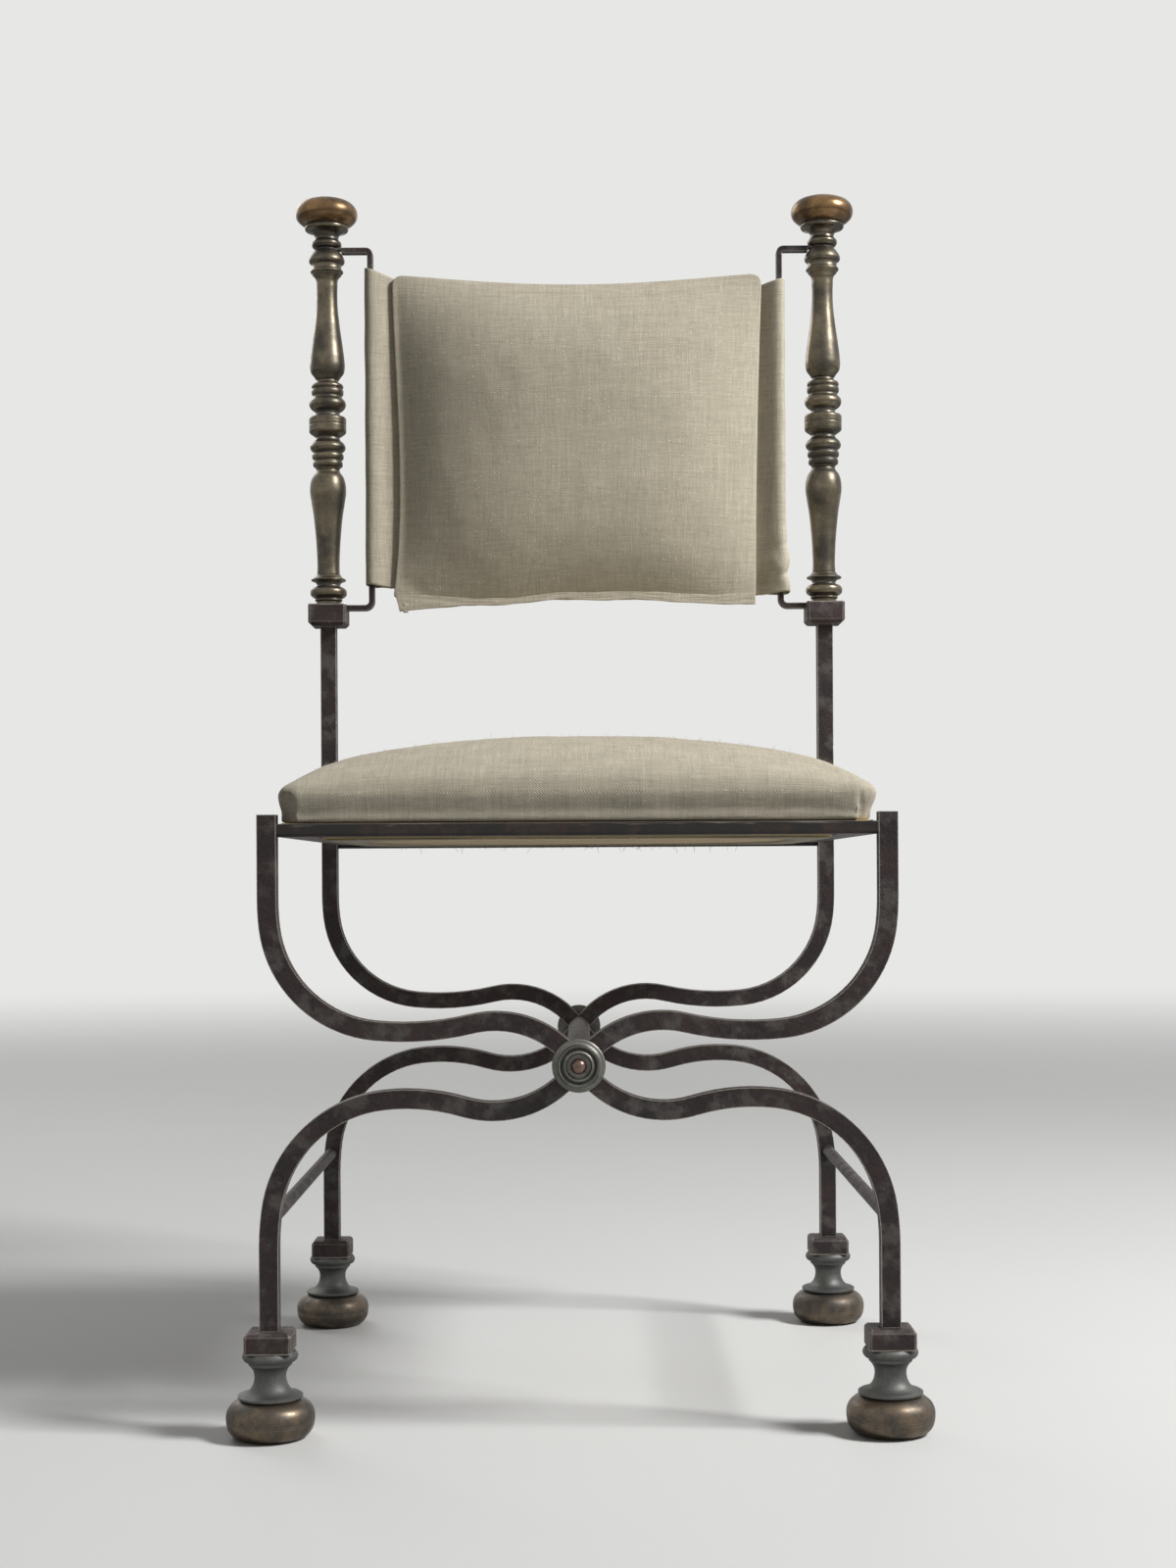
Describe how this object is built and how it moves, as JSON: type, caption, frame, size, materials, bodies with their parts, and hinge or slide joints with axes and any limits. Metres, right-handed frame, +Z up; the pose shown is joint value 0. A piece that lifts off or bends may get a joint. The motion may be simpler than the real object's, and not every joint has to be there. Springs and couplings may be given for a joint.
{
  "type": "savonarola chair",
  "caption": "Fixed X-frame side chair in wrought iron with turned bronze feet, brass back posts, a lift-out linen seat and a linen back cushion.",
  "frame": {"origin": "on the floor, under the middle of the four feet", "axes": "+Z up; -Y towards the front, where the sitter's knees are; +X towards the right of someone who faces the chair"},
  "size_m": [0.496, 0.462, 0.9845],
  "materials": {
    "wrought_iron": "forged black iron, hammered, browned, with worn bright edges",
    "rail_iron": "mill-finish angle iron, browned, rubbed bright along its top edge",
    "axle_iron": "round iron bar with a thin brown rust bloom",
    "foot_bronze": "dark patinated bronze, worn brown-gold on the fullest turn",
    "boss_bronze": "grey-green patinated bronze, rims rubbed bright",
    "cap_nut_copper": "rubbed coppery dome",
    "post_brass": "aged brass, dark in the turned grooves, satin on the crests",
    "finial_brass": "handled brass, warmer and more polished than the posts",
    "seat_linen": "undyed linen twill with slubs",
    "back_linen": "undyed linen twill with slubs",
    "plywood": "plain birch plywood, unvarnished"
  },
  "bodies": {
    "frame": {"front_left_leg_bar": "wrought_iron", "front_left_ankle_block": "wrought_iron", "front_left_foot_neck": "foot_bronze", "front_left_foot_bun": "foot_bronze", "front_right_leg_bar": "wrought_iron", "front_right_ankle_block": "wrought_iron", "front_right_foot_neck": "foot_bronze", "front_right_foot_bun": "foot_bronze", "front_boss": "boss_bronze", "front_cap_nut": "cap_nut_copper", "front_seat_rail": "rail_iron", "rear_left_leg_bar": "wrought_iron", "rear_left_ankle_block": "wrought_iron", "rear_left_foot_neck": "foot_bronze", "rear_left_foot_bun": "foot_bronze", "rear_right_leg_bar": "wrought_iron", "rear_right_ankle_block": "wrought_iron", "rear_right_foot_neck": "foot_bronze", "rear_right_foot_bun": "foot_bronze", "rear_boss": "boss_bronze", "rear_cap_nut": "cap_nut_copper", "rear_seat_rail": "rail_iron", "centre_axle": "axle_iron", "left_stretcher": "wrought_iron", "left_seat_rail": "rail_iron", "left_post_block": "wrought_iron", "left_post_base_ring": "post_brass", "left_post_lower_baluster": "post_brass", "left_post_ring_stack": "post_brass", "left_post_upper_baluster": "post_brass", "left_post_top_collar": "post_brass", "left_finial": "finial_brass", "left_back_strap": "wrought_iron", "right_stretcher": "wrought_iron", "right_seat_rail": "rail_iron", "right_post_block": "wrought_iron", "right_post_base_ring": "post_brass", "right_post_lower_baluster": "post_brass", "right_post_ring_stack": "post_brass", "right_post_upper_baluster": "post_brass", "right_post_top_collar": "post_brass", "right_finial": "finial_brass", "right_back_strap": "wrought_iron", "back_sling": "back_linen", "back_cushion": "back_linen"},
    "seat": {"seat_board": "plywood", "seat_pad": "seat_linen"}
  },
  "joints": [
    {"name": "seat_lift", "type": "slide", "parent": "frame", "child": "seat", "axis": [0, 0, 1], "range_m": [0, 0.1]}
  ]
}
